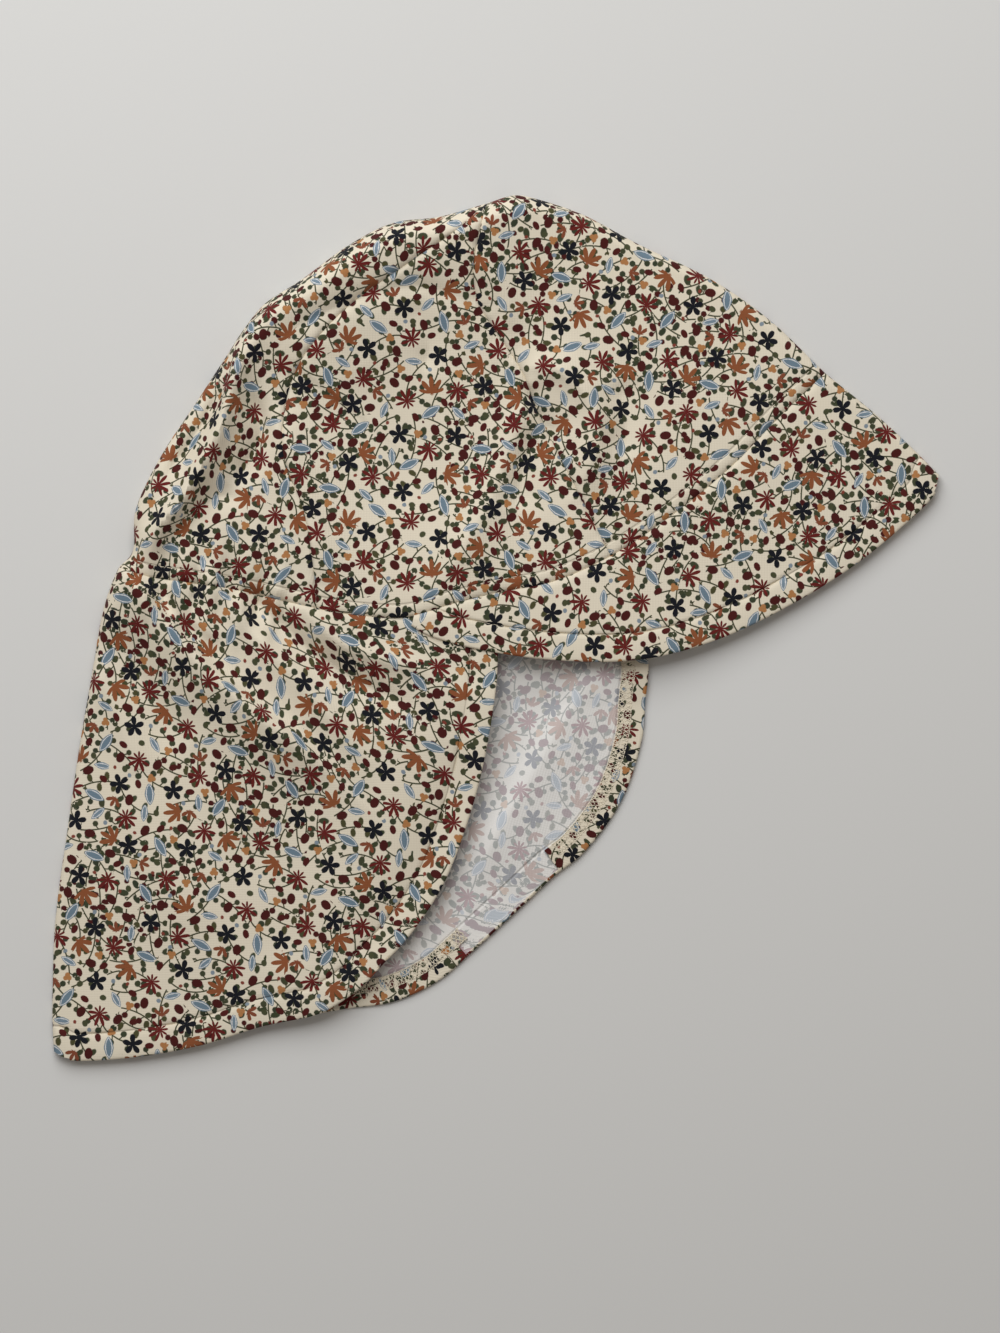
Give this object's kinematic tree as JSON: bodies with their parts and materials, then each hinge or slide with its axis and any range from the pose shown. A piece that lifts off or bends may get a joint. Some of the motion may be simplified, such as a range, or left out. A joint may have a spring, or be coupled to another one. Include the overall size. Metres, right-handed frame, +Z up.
{
  "type": "child's sun hat with neck flap",
  "caption": "Child's thin cloth sun hat lying on its side: gored crown, soft folded brim at the front and long rounded neck flap gathered at the nape.",
  "frame": {"origin": "middle of the underside of the hat as it lies on its left side", "axes": "+Z up from the surface that it lies on, +X towards the tip of the brim, +Y towards the top of the crown"},
  "size_m": [0.293, 0.2852, 0.0217],
  "materials": {
    "printed_cloth": "matt knit with a small allover flower print on cream",
    "sewing_thread": "cream sewing thread"
  },
  "bodies": {
    "root": {"crown_back_right": "printed_cloth", "crown_side_right": "printed_cloth", "crown_front_right": "printed_cloth", "crown_back_left": "printed_cloth", "crown_side_left": "printed_cloth", "crown_front_left": "printed_cloth", "brim": "printed_cloth", "neck_flap": "printed_cloth"}
  },
  "joints": []
}
